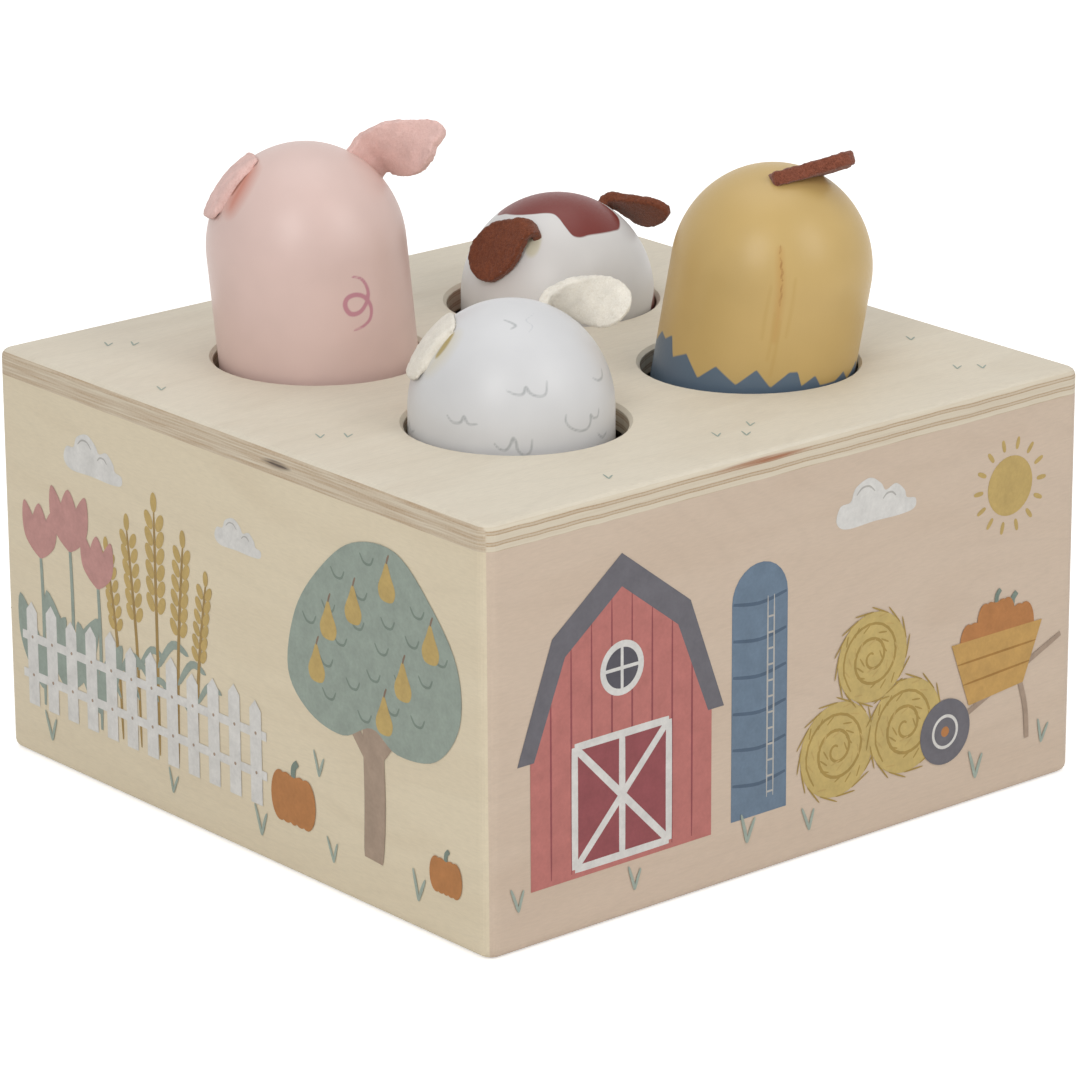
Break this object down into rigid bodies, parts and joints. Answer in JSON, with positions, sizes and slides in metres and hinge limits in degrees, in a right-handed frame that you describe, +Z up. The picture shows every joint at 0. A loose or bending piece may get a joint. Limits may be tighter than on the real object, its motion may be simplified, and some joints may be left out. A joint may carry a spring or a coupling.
{
  "type": "pop up animal toy",
  "caption": "Wooden pop up toy: a plywood box with round holes, in which painted animals with felt ears rise and sink in see-saw pairs",
  "frame": {"origin": "middle of the underside of the box, on the table", "axes": "+Z up; -Y is the front, the face to the right of the near corner in the picture; +X points right when seen from the front"},
  "size_m": [0.15, 0.15, 0.13],
  "materials": {
    "plywood": "sanded plywood, clear matt finish",
    "beech": "turned beech, bare",
    "pine": "sawn pine, bare",
    "steel": "zinc plated",
    "pig_paint": "pale pink satin paint",
    "cow_paint": "white satin paint with brown patches",
    "sheep_paint": "white satin paint with grey wool strokes",
    "hen_paint": "ochre satin paint with a blue-grey base",
    "pig_felt": "pink wool felt",
    "cow_felt": "brown wool felt",
    "sheep_felt": "cream wool felt",
    "hen_felt": "reddish brown wool felt"
  },
  "bodies": {
    "box": {"lid": "plywood", "wall_front": "plywood", "wall_right": "plywood", "wall_back": "plywood", "wall_left": "plywood", "base_plate": "plywood", "corner_block_front_left": "pine", "corner_block_front_right": "pine", "corner_block_back_right": "pine", "corner_block_back_left": "pine", "base_screw_front_left": "steel", "base_screw_front_right": "steel", "base_screw_back_right": "steel", "base_screw_back_left": "steel", "axle": "steel", "axle_post_front": "beech", "axle_post_centre": "beech", "axle_post_back": "beech", "spacer_front": "beech", "spacer_back": "beech", "washer_front": "steel", "washer_back": "steel"},
    "rocker_front_body": {"rocker_front": "plywood"},
    "rocker_back_body": {"rocker_back": "plywood"},
    "pig_plunger": {"pig_retaining_disc": "beech", "pig_foot": "beech"},
    "pig_head": {"pig_figure": "pig_paint", "pig_ear_left": "pig_felt", "pig_ear_right": "pig_felt"},
    "cow_plunger": {"cow_retaining_disc": "beech", "cow_foot": "beech"},
    "cow_head": {"cow_figure": "cow_paint", "cow_ear_left": "cow_felt", "cow_ear_right": "cow_felt"},
    "sheep_plunger": {"sheep_retaining_disc": "beech", "sheep_foot": "beech"},
    "sheep_head": {"sheep_figure": "sheep_paint", "sheep_ear_left": "sheep_felt", "sheep_ear_right": "sheep_felt"},
    "hen_plunger": {"hen_retaining_disc": "beech", "hen_foot": "beech"},
    "hen_head": {"hen_figure": "hen_paint", "hen_comb": "hen_felt"}
  },
  "joints": [
    {"name": "rocker_front_tilt", "type": "hinge", "parent": "box", "child": "rocker_front_body", "pos_m": [0, -0.0295, 0.0317], "axis": [0, 1, 0], "range_deg": [0, 32.62]},
    {"name": "rocker_back_tilt", "type": "hinge", "parent": "box", "child": "rocker_back_body", "pos_m": [0, 0.0295, 0.0317], "axis": [0, -1, 0], "range_deg": [0, 39.02]},
    {"name": "pig_slide", "type": "slide", "parent": "box", "child": "pig_plunger", "axis": [-0.0679, 0.0574, 0.996], "range_m": [-0.01957, 0]},
    {"name": "pig_turn", "type": "hinge", "parent": "pig_plunger", "child": "pig_head", "pos_m": [-0.02819, 0.02839, 0.05701], "axis": [-0.0679, 0.0574, 0.996], "continuous": true},
    {"name": "cow_slide", "type": "slide", "parent": "box", "child": "cow_plunger", "axis": [0, 0, 1], "range_m": [0, 0.02156]},
    {"name": "cow_turn", "type": "hinge", "parent": "cow_plunger", "child": "cow_head", "pos_m": [0.03042, 0.02873, 0.03626], "axis": [0, 0, 1], "continuous": true},
    {"name": "sheep_slide", "type": "slide", "parent": "box", "child": "sheep_plunger", "axis": [0, 0, 1], "range_m": [0, 0.01767]},
    {"name": "sheep_turn", "type": "hinge", "parent": "sheep_plunger", "child": "sheep_head", "pos_m": [-0.03019, -0.02892, 0.03793], "axis": [0, 0, 1], "continuous": true},
    {"name": "hen_slide", "type": "slide", "parent": "box", "child": "hen_plunger", "axis": [0.1247, -0.1055, 0.9866], "range_m": [-0.01529, 0]},
    {"name": "hen_turn", "type": "hinge", "parent": "hen_plunger", "child": "hen_head", "pos_m": [0.02675, -0.02717, 0.05458], "axis": [0.1247, -0.1055, 0.9866], "continuous": true}
  ],
  "couplings": [
    {"joint": "rocker_back_tilt", "follows": "pig_slide", "rad_per_m": -34.78},
    {"joint": "cow_slide", "follows": "pig_slide", "ratio": -1.1007},
    {"joint": "rocker_front_tilt", "follows": "hen_slide", "rad_per_m": -37.209},
    {"joint": "sheep_slide", "follows": "hen_slide", "ratio": -1.1545}
  ]
}
